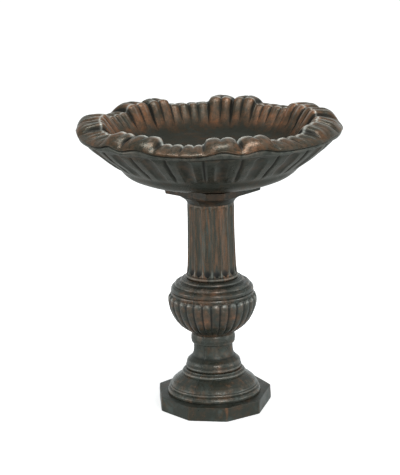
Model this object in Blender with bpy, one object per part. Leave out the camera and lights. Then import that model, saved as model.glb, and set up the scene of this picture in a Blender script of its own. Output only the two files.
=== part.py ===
"""Bird bath: a fluted basin with a ruffled rim, resting on a pedestal of stacked castings.

Metres, +Z up.  The origin is on the floor, on the pedestal's axis.  The castings of the
pedestal are cored, located by spigots and clamped by one tie rod.  The basin stands on a
seat ring, turns freely about +Z and lifts straight up off its socket.
"""
import math

import bmesh
import bpy

# ---------------------------------------------------------------- driving dimensions
GAP = 0.0003                    # gap kept between faces that touch
CORE_R = 0.036                  # radius of the hole cored through each casting
SPIGOT_R = 0.0425               # raised ring on top of a casting
SPIGOT_H = 0.005
SOCKET_R = 0.0434               # recess under the next casting that takes the ring
SOCKET_DEPTH = 0.0055

PLINTH_CORNERS = (              # octagon, hand-finished: (degrees from +X, radius)
    (11.3, 0.1530), (52.0, 0.1590), (113.0, 0.1590), (156.2, 0.1560),
    (199.0, 0.1470), (242.5, 0.1470), (281.8, 0.1487), (323.4, 0.1444))
PLINTH_STEP = math.radians(16)  # widest turn between two points of its outline
PLINTH_TOP = 0.0380
PLINTH_WEB = 0.0100             # thickness of the plinth's top over its underside recess
PLINTH_RECESS_R = 0.0370

BASE_TOP = 0.1050               # top of the bell-shaped base moulding
NECK_TOP = 0.1735
COLLAR_TOP = 0.2015
KNOP_JOINT = 0.3130             # groove between the two halves of the knop
KNOP_TOP = 0.3495
SHAFT_TOP = 0.5490
CAPITAL_TOP = 0.5965

ABACUS_HALF = 0.1225            # square plate of the capital, centre to its clipped corner
ABACUS_CLIP = 0.0220            # half the width of a clipped corner
ABACUS_H = 0.0150
CAPITAL_WEB = 0.0050            # thickness of the capital's floor, which the rod clamps
SEAT_RING_H = 0.0030
SEAT_RING_R = (0.0600, 0.1000)  # inside and outside
BASIN_FOOT = CAPITAL_TOP + SEAT_RING_H + 2 * GAP
BOSS_R = 0.0345                 # boss under the basin that drops into the capital
BOSS_DEPTH = 0.0120
FLOOR_Z = 0.6880                # flat floor inside the basin
LIP_R = 0.3400                  # outermost edge of the rolled lip
LIP_Z = 0.7370
CREST_R = 0.2770
CREST_LOW_Z = 0.7530            # crest of the low petals
LIP_WAVE = 0.0100               # rise of the lip's edge under a pair of tall petals
LIP_RISE = (0.0, 0.4, 1.0, 1.1, 1.2, 1.35, 1.6, 1.2)    # share of it, row by row to the crest

PETAL_GROUPS = 7                # each group: two tall petals and two low ones
PETAL_PHASE = math.radians(76.8)
WALL_FLUTES = 21
WALL_FLUTE_DEPTH = 0.0030
GADROONS = 30
GADROON_PHASE = math.radians(3.6)
GADROON_DEPTH = 0.0050
SHAFT_FLUTES = 16
SHAFT_FLUTE_DEPTH = 0.0035

ROD_R = 0.0060
ROD_LOW_Z = 0.0060              # lower end of the tie rod, clear of the floor
ROD_PROUD = 0.0020              # rod that stands out of the lock nut
ROD_CHAMFER = 0.0010
ROD_HOLE_R = 0.0075
NUT_R = 0.0110                  # hexagon, centre to corner
NUT_H = 0.0090
LOCK_NUT_H = 0.0054
WASHER_R = 0.0130
WASHER_H = 0.0022
PLATE_R = 0.0300
PLATE_H = 0.0050

TURNED = 24                     # segments round a plain turned piece
SMALL = 16                      # segments round a washer or the rod
BASIN_SEGMENTS = 84             # a multiple of both the petal groups and the flutes

BRONZE = (0.075, 0.045, 0.030)
BRONZE_DARK = (0.055, 0.045, 0.038)
BRONZE_RUST = (0.110, 0.055, 0.030)


# ---------------------------------------------------------------- helpers
def clear_scene():
    for old in list(bpy.data.objects):
        bpy.data.objects.remove(old, do_unlink=True)


def material(name, colour, roughness, metallic):
    mat = bpy.data.materials.new(name)
    mat.use_nodes = True
    shader = mat.node_tree.nodes["Principled BSDF"]
    shader.inputs["Base Color"].default_value = (*colour, 1.0)
    shader.inputs["Roughness"].default_value = roughness
    shader.inputs["Metallic"].default_value = metallic
    return mat


def arc(centre, radii, start, stop, steps):
    """Points on an ellipse in the (r, z) plane, angles in degrees from +r."""
    points = []
    for i in range(steps + 1):
        a = math.radians(start + (stop - start) * i / steps)
        points.append((centre[0] + radii[0] * math.cos(a), centre[1] + radii[1] * math.sin(a)))
    return points


def smooth(points, steps):
    """A curve through the given (r, z) points, with the given steps between each two."""
    ends = [points[0]] + list(points) + [points[-1]]
    curve = [points[0]]
    for i in range(1, len(ends) - 2):
        p0, p1, p2, p3 = ends[i - 1:i + 3]
        for k in range(1, steps + 1):
            t = k / steps
            weights = (-t + 2 * t ** 2 - t ** 3, 2 - 5 * t ** 2 + 3 * t ** 3,
                       t + 4 * t ** 2 - 3 * t ** 3, t ** 3 - t ** 2)
            r = sum(w * p[0] for w, p in zip(weights, (p0, p1, p2, p3))) / 2
            z = sum(w * p[1] for w, p in zip(weights, (p0, p1, p2, p3))) / 2
            curve.append((r, z))
    return curve


def even(count, start=0.0):
    """Angles of evenly spaced points round the axis."""
    return [start + 2 * math.pi * i / count for i in range(count)]


def outline(corners, step=math.radians(15)):
    """(angle, radius) points, at most a step apart, along the sides between the corners."""
    points = []
    for i, (a0, r0) in enumerate(corners):
        a1, r1 = corners[(i + 1) % len(corners)]
        span = (a1 - a0) % (2 * math.pi)
        steps = math.ceil(span / step)
        for k in range(steps):
            a = span * k / steps
            cross = r0 * math.sin(a) + r1 * math.sin(span - a)
            points.append((a0 + a, r0 * r1 * math.sin(span) / cross))
    return points


def lathe(name, profile, angles, mat, shape=None, closed=True):
    """One closed solid turned about +Z, with a row of points at each of the angles.

    The profile is a list of (r, z) that runs up the outside and down the inside.  A closed
    one is a ring; an open one starts and ends on the axis.  shape(row, r, z, angle) may
    move a point to a new (r, z).
    """
    segments = len(angles)
    bm = bmesh.new()
    rows = []
    for row, (r, z) in enumerate(profile):
        if r == 0.0:
            rows.append([bm.verts.new((0.0, 0.0, z))])
            continue
        ring = []
        for angle in angles:
            ri, zi = shape(row, r, z, angle) if shape else (r, z)
            ring.append(bm.verts.new((ri * math.cos(angle), ri * math.sin(angle), zi)))
        rows.append(ring)
    pairs = list(zip(rows, rows[1:]))
    if closed:
        pairs.append((rows[-1], rows[0]))
    for low, high in pairs:
        for i in range(segments):
            j = (i + 1) % segments
            if len(low) == 1:
                bm.faces.new((low[0], high[j], high[i]))
            elif len(high) == 1:
                bm.faces.new((low[i], low[j], high[0]))
            else:
                bm.faces.new((low[i], low[j], high[j], high[i]))
    mesh = bpy.data.meshes.new(name)
    bm.to_mesh(mesh)
    bm.free()
    mesh.shade_smooth()
    mesh.set_sharp_from_angle(angle=math.radians(35))
    mesh.materials.append(mat)
    obj = bpy.data.objects.new(name, mesh)
    bpy.context.scene.collection.objects.link(obj)
    return obj


def cored(outside, bottom, top):
    """Closes an outside profile with the cored hole, a socket below and a spigot on top."""
    profile = [(SOCKET_R, bottom)] + outside
    profile += [(SPIGOT_R, top), (SPIGOT_R, top + SPIGOT_H), (CORE_R, top + SPIGOT_H)]
    profile += [(CORE_R, bottom + SOCKET_DEPTH), (SOCKET_R, bottom + SOCKET_DEPTH)]
    return profile


# ---------------------------------------------------------------- pedestal castings
def flat_sided(name, profile, mat, sides, inner_r):
    """A lathe whose points beyond inner_r follow straight-sided corners."""
    radius = dict(sides)
    reach = max(radius.values())

    def shape(row, r, z, angle):
        return (r - reach + radius[angle], z) if r > inner_r else (r, z)
    return lathe(name, profile, list(radius), mat, shape)


def make_plinth(mat):
    sides = outline([(math.radians(a), r) for a, r in PLINTH_CORNERS], PLINTH_STEP)
    reach = max(r for _, r in sides)
    under = PLINTH_TOP - PLINTH_WEB
    profile = [(PLINTH_RECESS_R, 0.0), (reach - 0.002, 0.0), (reach, 0.002),
               (reach, PLINTH_TOP - 0.003), (reach - 0.003, PLINTH_TOP),
               (SPIGOT_R, PLINTH_TOP), (SPIGOT_R, PLINTH_TOP + SPIGOT_H),
               (ROD_HOLE_R, PLINTH_TOP + SPIGOT_H), (ROD_HOLE_R, under),
               (PLINTH_RECESS_R, under)]
    return flat_sided("plinth", profile, mat, sides, SPIGOT_R)


def make_base_moulding(mat):
    bottom = PLINTH_TOP + GAP
    outside = [(0.1170, bottom)]
    outside += arc((0.1165, 0.0480), (0.0032, 0.0080), -60, 75, 3)
    outside += [(0.1145, 0.0565), (0.1130, 0.0660), (0.1090, 0.0730), (0.0985, 0.0795),
                (0.0900, 0.0850), (0.0830, 0.0895)]
    outside += arc((0.0780, 0.0955), (0.0040, 0.0038), -45, 80, 3)
    outside += [(0.0765, 0.1000), (0.0755, BASE_TOP)]
    return lathe("base_moulding", cored(outside, bottom, BASE_TOP), even(TURNED), mat)


def make_neck(mat):
    bottom = BASE_TOP + GAP
    outside = [(0.0715, bottom)] + arc((0.0515, 0.1090), (0.0232, 0.0270), -5, 85, 6)
    outside += [(0.0510, 0.1500), (0.0510, NECK_TOP)]
    return lathe("neck", cored(outside, bottom, NECK_TOP), even(TURNED), mat)


def make_collar(mat):
    bottom = NECK_TOP + GAP
    outside = [(0.0540, bottom)] + arc((0.0480, 0.1880), (0.0095, 0.0180), -50, 50, 4)
    outside += [(0.0540, COLLAR_TOP)]
    return lathe("collar", cored(outside, bottom, COLLAR_TOP), even(TURNED), mat)


def make_knop_lower(mat):
    bottom = COLLAR_TOP + GAP
    ribs = smooth([(0.0570, 0.2040), (0.0850, 0.2235), (0.1045, 0.2510), (0.1158, 0.2850),
                   (0.1120, 0.3020)], 2)
    outside = [(0.0550, bottom)] + ribs
    outside += [(0.1070, 0.3055), (0.1085, 0.3080), (0.1075, KNOP_JOINT)]
    last_rib = 1 + len(ribs)

    def shape(row, r, z, angle):
        if not 2 <= row <= last_rib:
            return r, z
        depth = GADROON_DEPTH * min(1.0, 0.3 + (r - 0.055) / 0.06)
        gap = 0.5 + 0.5 * math.cos((angle - GADROON_PHASE) * GADROONS)
        return r - depth * gap, z
    profile = cored(outside, bottom, KNOP_JOINT)
    return lathe("knop_lower", profile, even(2 * GADROONS, GADROON_PHASE), mat, shape)


def make_knop_upper(mat):
    bottom = KNOP_JOINT + GAP
    outside = [(0.1045, bottom), (0.1060, 0.3150), (0.1072, 0.3185), (0.1070, 0.3220),
               (0.1052, 0.3265), (0.1015, 0.3300), (0.0975, 0.3315), (0.0960, 0.3330),
               (0.0880, 0.3352), (0.0820, 0.3392)]
    outside += arc((0.0750, 0.3430), (0.0052, 0.0045), -20, 90, 3)
    outside += [(0.0700, 0.3478), (0.0690, KNOP_TOP)]
    return lathe("knop_upper", cored(outside, bottom, KNOP_TOP), even(TURNED), mat)


def make_shaft(mat):
    bottom = KNOP_TOP + GAP
    foot = [(0.0640, bottom)] + arc((0.0625, 0.3550), (0.0050, 0.0045), -60, 75, 3)
    fluted = [(0.0642, 0.3640), (0.0630, 0.3800), (0.0610, 0.4300), (0.0602, 0.5360)]
    outside = foot + fluted + [(0.0602, 0.5420), (0.0602, SHAFT_TOP)]
    first = 1 + len(foot)

    def shape(row, r, z, angle):
        if not first <= row < first + len(fluted):
            return r, z
        return r - SHAFT_FLUTE_DEPTH * (0.5 - 0.5 * math.cos(angle * SHAFT_FLUTES)), z
    profile = cored(outside, bottom, SHAFT_TOP)
    return lathe("shaft", profile, even(2 * SHAFT_FLUTES), mat, shape)


def make_capital(mat):
    bottom = SHAFT_TOP + GAP
    plate = CAPITAL_TOP - ABACUS_H
    web_low = bottom + SOCKET_DEPTH
    web_top = web_low + CAPITAL_WEB
    clip = math.atan2(ABACUS_CLIP, ABACUS_HALF)
    reach = math.hypot(ABACUS_CLIP, ABACUS_HALF)
    corners = [(math.radians(90 * i) + turn, reach) for i in range(4) for turn in (-clip, clip)]
    outside = [(0.0610, bottom), (0.0622, 0.5530), (0.0650, 0.5570), (0.0700, 0.5620),
               (0.0760, 0.5660), (0.0800, 0.5685), (0.0805, 0.5725)]
    outside += arc((0.1010, 0.5725), (0.0190, 0.0085), 165, 95, 2)
    outside += [(reach - 0.001, plate), (reach, plate + 0.001)]
    outside += [(reach, CAPITAL_TOP - 0.001), (reach - 0.001, CAPITAL_TOP)]
    profile = [(SOCKET_R, bottom)] + outside
    profile += [(CORE_R, CAPITAL_TOP), (CORE_R, web_top), (ROD_HOLE_R, web_top)]
    profile += [(ROD_HOLE_R, web_low), (SOCKET_R, web_low)]
    return flat_sided("capital", profile, mat, outline(corners), 0.11)


# ---------------------------------------------------------------- basin
def petal_height(angle):
    """Height of the ruffle, 0 on the low petals to 1 on the tall ones."""
    group = 2 * math.pi / PETAL_GROUPS
    phase = ((angle - PETAL_PHASE) / group + 0.5) % 1.0 - 0.5
    rise = max(0.0, 1.0 - (abs(phase) / 0.28) ** 4)
    notch = 0.35 * math.exp(-(phase / 0.035) ** 2)
    return rise * (1.0 - notch)


def make_basin(mat):
    wall = [(0.2340, 0.6485), (0.2520, 0.6590), (0.2930, 0.6920), (0.3150, 0.7100)]
    lip = [(0.3250, 0.7170), (0.3370, 0.7260), (LIP_R, LIP_Z), (0.3365, 0.7460),
           (0.3190, 0.7540), (0.2970, 0.7590), (CREST_R, CREST_LOW_Z), (0.2640, 0.7450)]
    inside = [(0.2480, 0.7230), (0.2330, 0.7050), (0.2160, FLOOR_Z)]
    low = [(0.0, BASIN_FOOT - BOSS_DEPTH), (BOSS_R, BASIN_FOOT - BOSS_DEPTH),
           (BOSS_R, BASIN_FOOT), (0.1040, BASIN_FOOT), (0.1400, 0.6035), (0.1700, 0.6095),
           (0.1970, 0.6185), (0.2170, 0.6300)]
    profile = low + wall + lip + inside + [(0.0, FLOOR_Z)]
    lip_row = len(low) + len(wall)

    def shape(row, r, z, angle):
        if len(low) < row < lip_row:
            return r - WALL_FLUTE_DEPTH * (0.5 + 0.5 * math.cos(angle * WALL_FLUTES)), z
        if lip_row <= row < lip_row + len(lip):
            return r, z + LIP_WAVE * LIP_RISE[row - lip_row] * petal_height(angle)
        return r, z
    return lathe("basin", profile, even(BASIN_SEGMENTS), mat, shape, closed=False)


def make_seat_ring(mat):
    low = CAPITAL_TOP + GAP
    inner, outer = SEAT_RING_R
    profile = [(inner, low), (outer, low), (outer, low + SEAT_RING_H),
               (inner, low + SEAT_RING_H)]
    return lathe("seat_ring", profile, even(TURNED), mat)


# ---------------------------------------------------------------- clamping hardware
def make_ring(name, inner, outer, low, height, mat, hexagon=False):
    """A washer, a plate or a hexagon nut."""
    edge = height * 0.12
    profile = [(inner, low), (outer - edge, low), (outer, low + edge),
               (outer, low + height - edge), (outer - edge, low + height),
               (inner, low + height)]
    if hexagon:
        corners = [(angle, outer) for angle in even(6)]
        return flat_sided(name, profile, mat, outline(corners, math.radians(31)), inner)
    return lathe(name, profile, even(SMALL), mat)


def make_hardware(steel):
    under = PLINTH_TOP - PLINTH_WEB - GAP
    plate = under - PLATE_H
    washer = plate - GAP - WASHER_H
    nut = washer - GAP - NUT_H
    bore = ROD_R + GAP
    make_ring("clamp_plate", ROD_HOLE_R, PLATE_R, plate, PLATE_H, steel)
    make_ring("bottom_washer", ROD_HOLE_R, WASHER_R, washer, WASHER_H, steel)
    make_ring("bottom_nut", bore, NUT_R, nut, NUT_H, steel, hexagon=True)

    ledge = SHAFT_TOP + GAP + SOCKET_DEPTH + CAPITAL_WEB + GAP
    nut = ledge + WASHER_H + GAP
    lock = nut + NUT_H + GAP
    make_ring("top_washer", ROD_HOLE_R, WASHER_R, ledge, WASHER_H, steel)
    make_ring("top_nut", bore, NUT_R, nut, NUT_H, steel, hexagon=True)
    make_ring("top_lock_nut", bore, NUT_R, lock, LOCK_NUT_H, steel, hexagon=True)

    low, high = ROD_LOW_Z, lock + LOCK_NUT_H + ROD_PROUD
    tip = ROD_R - ROD_CHAMFER
    rod = [(0.0, low), (tip, low), (ROD_R, low + ROD_CHAMFER), (ROD_R, high - ROD_CHAMFER),
           (tip, high), (0.0, high)]
    lathe("tie_rod", rod, even(SMALL), steel, closed=False)


def main():
    clear_scene()
    make_plinth(material("plinth", BRONZE, 0.45, 0.35))
    make_base_moulding(material("base_moulding", BRONZE_DARK, 0.42, 0.35))
    make_neck(material("neck", BRONZE, 0.45, 0.35))
    make_collar(material("collar", BRONZE_RUST, 0.45, 0.35))
    make_knop_lower(material("knop_lower", BRONZE, 0.42, 0.35))
    make_knop_upper(material("knop_upper", BRONZE_DARK, 0.42, 0.35))
    make_shaft(material("shaft", BRONZE_RUST, 0.42, 0.35))
    make_capital(material("capital", BRONZE_DARK, 0.45, 0.35))
    make_basin(material("basin", BRONZE_RUST, 0.40, 0.35))
    make_seat_ring(material("seat_ring", (0.02, 0.02, 0.02), 0.8, 0.0))
    make_hardware(material("galvanised_steel", (0.55, 0.56, 0.57), 0.35, 1.0))


main()
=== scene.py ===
# Looks of the bird bath: cast stone with a bronze and rust patina, on a pale studio floor.
# Metres, +Z up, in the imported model's frame.  Each visible piece stands for one CAD node and
# is turned about +Z from a profile of radii and heights.  Angles run round +Z from +X.
import math

import bpy
import numpy as np
from mathutils import Matrix, Vector


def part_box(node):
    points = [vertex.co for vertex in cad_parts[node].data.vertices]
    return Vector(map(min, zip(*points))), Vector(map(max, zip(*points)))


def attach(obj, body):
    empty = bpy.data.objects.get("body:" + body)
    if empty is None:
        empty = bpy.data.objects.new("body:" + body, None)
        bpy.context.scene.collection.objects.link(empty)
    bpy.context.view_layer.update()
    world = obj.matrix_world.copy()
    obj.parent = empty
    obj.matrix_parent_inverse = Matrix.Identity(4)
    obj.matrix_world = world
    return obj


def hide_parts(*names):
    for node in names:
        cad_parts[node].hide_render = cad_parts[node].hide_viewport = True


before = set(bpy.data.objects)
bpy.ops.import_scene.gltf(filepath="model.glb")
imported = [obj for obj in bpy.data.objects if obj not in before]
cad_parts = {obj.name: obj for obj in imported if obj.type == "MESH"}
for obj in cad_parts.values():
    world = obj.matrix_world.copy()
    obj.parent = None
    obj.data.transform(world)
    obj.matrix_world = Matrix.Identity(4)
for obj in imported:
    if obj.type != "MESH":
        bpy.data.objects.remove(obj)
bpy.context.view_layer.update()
TAU = 2 * math.pi

# ---------------------------------------------------------------- joints between the pieces
EDGE = 0.0006                   # rounding of the edges that the joints hide
CORE_R = 0.036
SPIGOT_R = 0.0425
SPIGOT_H = 0.005
SOCKET_R = 0.0434
SOCKET_DEPTH = 0.0055
ROD_R = 0.006
ROD_HOLE_R = 0.0075
THREAD_GAP = 0.0003             # between the rod and the bore of a nut
THREAD_PITCH = 0.00175

SEAM_AT = math.radians(243.5)   # mould seam; a second one is opposite
SEAM_HEIGHT = 0.0014
SEAM_WIDTH = 0.0020


# ---------------------------------------------------------------- geometry helpers
def ripple(angle, height, seed, turns=9, per_metre=70.0, waves=9):
    """A smooth random unevenness, about -1 to 1, that closes round the axis.

    It is a sum of waves with up to turns periods round the axis, and per_metre is how far
    their phase may turn, in radians, over a metre of height.
    """
    rng = np.random.default_rng(seed)
    total = 0.0
    for _ in range(waves):
        k = int(rng.integers(1, turns))
        total = total + np.sin(k * angle + rng.uniform(-per_metre, per_metre) * height
                               + rng.uniform(0.0, TAU))
    return total / math.sqrt(waves)


def smoothstep(low, high, x):
    """0 at low, 1 at high and a smooth ramp between them; low may be the larger."""
    t = np.clip((x - low) / (high - low), 0.0, 1.0)
    return t * t * (3.0 - 2.0 * t)


def bell(x, width):
    """1 where x is 0, falling to nothing a few widths away."""
    return np.exp(-(x / width) ** 2)


def around(columns):
    """Evenly spaced angles round the axis, as a single row."""
    return np.arange(columns)[None, :] * TAU / columns


def rounded(corners, step=0.003):
    """Points along (r, z, radius) corners, each rounded to its radius, at most a step apart."""
    arc_step = math.radians(14)
    most = 0.48                 # share of a side that one rounded corner may take
    pts = [np.array(c[:2], float) for c in corners]
    path = [pts[0]]
    for i in range(1, len(pts) - 1):
        back, ahead = pts[i - 1] - pts[i], pts[i + 1] - pts[i]
        lb, la = np.linalg.norm(back), np.linalg.norm(ahead)
        back, ahead = back / lb, ahead / la
        turn = math.pi - math.acos(float(np.clip(back @ ahead, -1, 1)))
        radius = corners[i][2]
        if turn < 0.02 or radius <= 0:
            path.append(pts[i])
            continue
        cut = min(radius * math.tan(turn / 2), most * lb, most * la)
        count = max(2, int(turn / arc_step))
        for k in range(count + 1):
            t = k / count
            path.append(pts[i] + back * cut * (1 - t) ** 2 + ahead * cut * t ** 2)
    path.append(pts[-1])
    fine = [path[0]]
    for a, b in zip(path, path[1:]):
        count = max(1, math.ceil(np.linalg.norm(b - a) / step))
        fine += [a + (b - a) * k / count for k in range(1, count + 1)]
    return np.array(fine)


def ellipse(centre, radii, start, stop, steps):
    """(r, z, 0) corners on an ellipse, angles in degrees from +r, that need no rounding."""
    angles = [math.radians(start + (stop - start) * i / steps) for i in range(steps + 1)]
    return [(centre[0] + radii[0] * math.cos(a), centre[1] + radii[1] * math.sin(a), 0)
            for a in angles]


def build(name, points, mat, body, node, closed=True, values=None, sharp=None):
    """A piece from rows of points round the axis; points is (rows, columns, 3).

    If closed, the last row joins the first.  If not, a fan closes the first and last rows.
    values holds the numbers at each point that the material reads, and sharp is the angle
    in degrees from which an edge is shaded as a sharp one.
    """
    rows, cols = points.shape[:2]
    verts = points.reshape(-1, 3)
    pairs = rows if closed else rows - 1
    i, j = np.meshgrid(np.arange(pairs), np.arange(cols), indexing="ij")
    above, beside = (i + 1) % rows, (j + 1) % cols
    quads = np.stack([i * cols + j, i * cols + beside,
                      above * cols + beside, above * cols + j], -1).reshape(-1, 4)
    faces = quads.tolist()
    if not closed:
        ends = np.stack([points[0].mean(0), points[-1].mean(0)])
        verts = np.vstack([verts, ends])
        first, last = rows * cols, rows * cols + 1
        top = (rows - 1) * cols
        for k in range(cols):
            m = (k + 1) % cols
            faces.append([first, m, k])
            faces.append([last, top + k, top + m])
    mesh = bpy.data.meshes.new(name)
    mesh.from_pydata(verts.tolist(), [], faces)
    mesh.shade_smooth()
    if sharp:
        mesh.set_sharp_from_angle(angle=math.radians(sharp))
    for key, array in (values or {}).items():
        flat = np.broadcast_to(array, (rows, cols)).ravel().astype(np.float32)
        if not closed:
            flat = np.append(flat, [flat[0], flat[-1]]).astype(np.float32)
        layer = mesh.attributes.new(key, "FLOAT", "POINT")
        layer.data.foreach_set("value", flat)
    mesh.materials.append(mat)
    obj = bpy.data.objects.new(name, mesh)
    bpy.context.scene.collection.objects.link(obj)
    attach(obj, body)
    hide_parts(node)
    return obj


def turned(r, z, angle):
    """Points from arrays of radii, heights and angles."""
    return np.stack([r * np.cos(angle), r * np.sin(angle), z + 0 * angle], -1)


def cored(outside, bottom, top):
    """An outside profile closed with the socket below, the spigot on top and the core."""
    return [(SOCKET_R, bottom, EDGE), *outside,
            (SPIGOT_R, top, EDGE), (SPIGOT_R, top + SPIGOT_H, EDGE),
            (CORE_R, top + SPIGOT_H, EDGE), (CORE_R, bottom + SOCKET_DEPTH, EDGE),
            (SOCKET_R, bottom + SOCKET_DEPTH, EDGE)]


def from_seam(angle, radius):
    """Distance round the surface from the nearer of the two opposite seams, with its sign."""
    return ((angle - SEAM_AT + math.pi / 2) % math.pi - math.pi / 2) * radius


def seam(angle, radius):
    """Height of the mould seam above the surface."""
    return SEAM_HEIGHT * bell(from_seam(angle, radius), SEAM_WIDTH)


def seam_shade(angle, radius):
    """Painted shade along one side of the mould seam."""
    aside = 0.7 * SEAM_WIDTH
    return 0.85 * bell(from_seam(angle, radius) + aside, aside)


def curvature(profile, reach=3):
    """How far each point stands out of (positive) or in (negative) the line of its profile.

    The line joins the points a reach before and after, and 1 means 2 mm away from it.
    """
    full = 0.002
    last = len(profile) - 1
    out = np.zeros(len(profile))
    for i, point in enumerate(profile):
        a, b = profile[max(0, i - reach)], profile[min(last, i + reach)]
        d = b - a
        length = np.linalg.norm(d)
        if length > 1e-9:
            out[i] = ((point - a)[0] * d[1] - (point - a)[1] * d[0]) / length / full
    return out


def on_outside(r):
    """0 in the joints and the core, 1 on the surface that shows."""
    return smoothstep(SPIGOT_R + 0.001, SPIGOT_R + 0.004, r)


def turned_piece(node, corners, mat, seed, columns=600, shape=None, rub=0.35,
                 seamed=True, step=0.003):
    """A turned casting with its seam, its small unevenness and its wear.

    shape(r, z, angle) cuts the ribs or flutes.  It returns the new radii and heights, how
    deep each point lies in a groove and how strong a painted glint it gets.  Grooves, concave
    turns and one side of the seam get painted shade, and convex edges painted highlights.
    """
    uneven = 0.0003
    profile = rounded(corners, step)
    angle = around(columns)
    r, z = profile[:, :1] + 0 * angle, profile[:, 1:] + 0 * angle
    bent = curvature(profile)[:, None] + 0 * angle
    # Concave turns get painted shade, convex ones rust and a painted highlight.
    hollow = np.clip(1.4 * -bent, 0, 1)
    worn = np.clip(bent, 0, 1)
    outer = on_outside(r)
    bright = 0.0
    if shape:
        r, z, groove, bright = shape(r, z, angle)
        hollow = np.maximum(hollow, groove)
        worn = worn * (1 - groove)
    r = r + outer * uneven * ripple(angle, z, seed)
    if seamed:
        hollow = np.maximum(hollow, outer * seam_shade(angle, r))
        r = r + outer * seam(angle, r)
    # Hollows are painted as shade; edge holds painted highlights and glints.
    values = {"hollow": hollow,
              "rub": rub + 0.15 * worn - 0.3 * hollow,
              "edge": np.clip(0.30 * worn ** 1.5 + bright, 0, 0.9)}
    return build(node + "_casting", turned(r, z, angle), mat, "pedestal", node,
                 values=values)


# ---------------------------------------------------------------- materials
class Tree:
    """Short calls for building a node tree."""

    def __init__(self, owner):
        owner.use_nodes = True
        self.nodes = owner.node_tree.nodes
        self.links = owner.node_tree.links

    def feed(self, socket, value):
        """Links a socket to another, or sets its value."""
        if isinstance(value, bpy.types.NodeSocket):
            self.links.new(value, socket)
        else:
            socket.default_value = value

    def new(self, kind, inputs=None, **settings):
        node = self.nodes.new(kind)
        for key, value in settings.items():
            setattr(node, key, value)
        for key, value in (inputs or {}).items():
            self.feed(node.inputs[key], value)
        return node

    def math(self, operation, a, b, clamp=False):
        return self.new("ShaderNodeMath", {0: a, 1: b}, operation=operation,
                        use_clamp=clamp).outputs[0]

    def add(self, a, b, clamp=False):
        return self.math("ADD", a, b, clamp)

    def times(self, a, b):
        return self.math("MULTIPLY", a, b)

    def centred(self, noise, strength):
        """A noise about 0 instead of about a half, times its strength."""
        return self.times(self.math("SUBTRACT", noise, 0.5), strength)

    def mix(self, factor, a, b, blend="MIX"):
        """Mixes colours a and b, whose sockets come after the number and vector ones."""
        a, b = ((*c, 1.0) if isinstance(c, tuple) else c for c in (a, b))
        return self.new("ShaderNodeMix", {0: factor, 6: a, 7: b}, data_type="RGBA",
                        blend_type=blend).outputs[2]

    def range(self, value, low, high, to_low=0.0, to_high=1.0):
        """A smooth ramp from to_low, where the value is low, to to_high, where it is high."""
        return self.new("ShaderNodeMapRange", {0: value, 1: low, 2: high, 3: to_low, 4: to_high},
                        interpolation_type="SMOOTHSTEP").outputs[0]

    def noise(self, coords, scale, detail=5.0, rough=0.6, distortion=0.0):
        return self.new("ShaderNodeTexNoise",
                        {"Vector": coords, "Scale": scale, "Detail": detail,
                         "Roughness": rough, "Distortion": distortion}).outputs[0]

    def coords(self):
        return self.new("ShaderNodeTexCoord").outputs["Object"]

    def value(self, name):
        """The number that the mesh holds at each point under a name, 0 if it has none."""
        return self.new("ShaderNodeAttribute", attribute_name=name).outputs["Fac"]

    def bump(self, height, strength, distance):
        return self.new("ShaderNodeBump", {"Height": height, "Strength": strength,
                                           "Distance": distance}).outputs[0]


def principled(name, parts):
    """A new material; parts(tree) returns what feeds each input of its shader."""
    mat = bpy.data.materials.new(name)
    tree = Tree(mat)
    shader = tree.nodes["Principled BSDF"]
    for key, value in parts(tree).items():
        tree.feed(shader.inputs[key], value)
    return mat


OLIVE = (0.025, 0.027, 0.021)
UMBER = (0.037, 0.029, 0.019)
BROWN = (0.072, 0.042, 0.024)
RUST = (0.180, 0.078, 0.036)
VERDIGRIS = (0.055, 0.072, 0.066)
# The dark that painted shade mixes towards; the floor also darkens towards it.
SHADE_DARK = (0.006, 0.006, 0.005)
# The colour of painted highlights, glints and reflections.
PAINTED_HIGHLIGHT_COLOUR = (0.50, 0.52, 0.48)


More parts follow.
